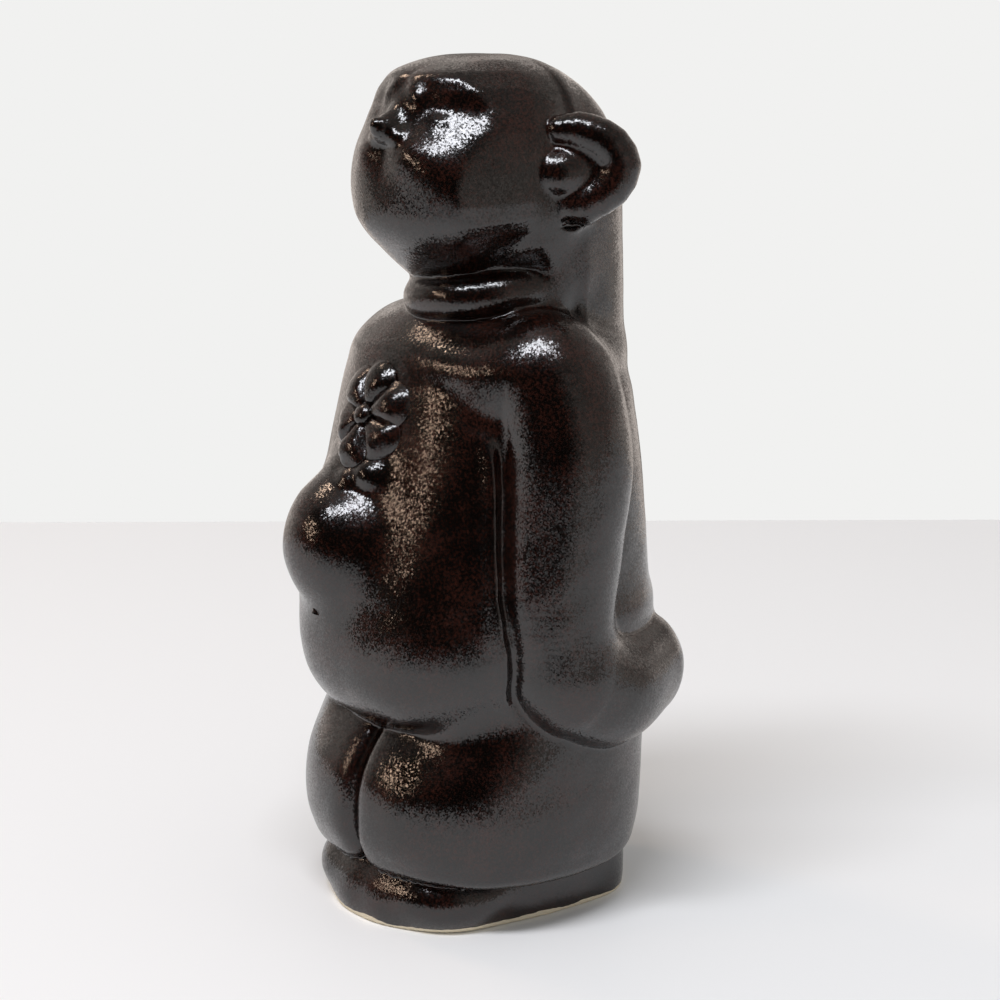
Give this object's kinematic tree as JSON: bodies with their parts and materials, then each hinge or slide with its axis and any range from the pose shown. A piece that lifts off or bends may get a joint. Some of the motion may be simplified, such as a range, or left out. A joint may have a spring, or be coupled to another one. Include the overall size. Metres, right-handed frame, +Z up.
{
  "type": "troll figurine",
  "caption": "Small hollow stoneware troll figurine in dark brown satin glaze, looking up, with a flower held to its chest; stands on a flat unglazed foot.",
  "frame": {"origin": "middle of the flat underside, on the surface that the figurine stands on", "axes": "+Z up; the figure faces -Y; its left side, with the hanging arm, is +X"},
  "size_m": [0.0462, 0.0432, 0.1],
  "materials": {
    "brown_glaze": "dark brown satin glaze with fine metallic crystals",
    "bare_stoneware": "cream fired clay, glazed on the outer edge above the foot line"
  },
  "bodies": {
    "root": {"base_slab": "bare_stoneware", "left_shoe": "brown_glaze", "right_shoe": "brown_glaze", "left_leg": "brown_glaze", "right_leg": "brown_glaze", "torso": "brown_glaze", "collar": "brown_glaze", "head": "brown_glaze", "nose": "brown_glaze", "left_ear": "brown_glaze", "right_ear": "brown_glaze", "hair": "brown_glaze", "left_arm": "brown_glaze", "left_hand": "brown_glaze", "right_arm": "brown_glaze", "right_hand": "brown_glaze", "flower_stem": "brown_glaze", "flower_centre": "brown_glaze", "petal_1": "brown_glaze", "petal_2": "brown_glaze", "petal_3": "brown_glaze", "petal_4": "brown_glaze", "petal_5": "brown_glaze", "petal_6": "brown_glaze"}
  },
  "joints": []
}
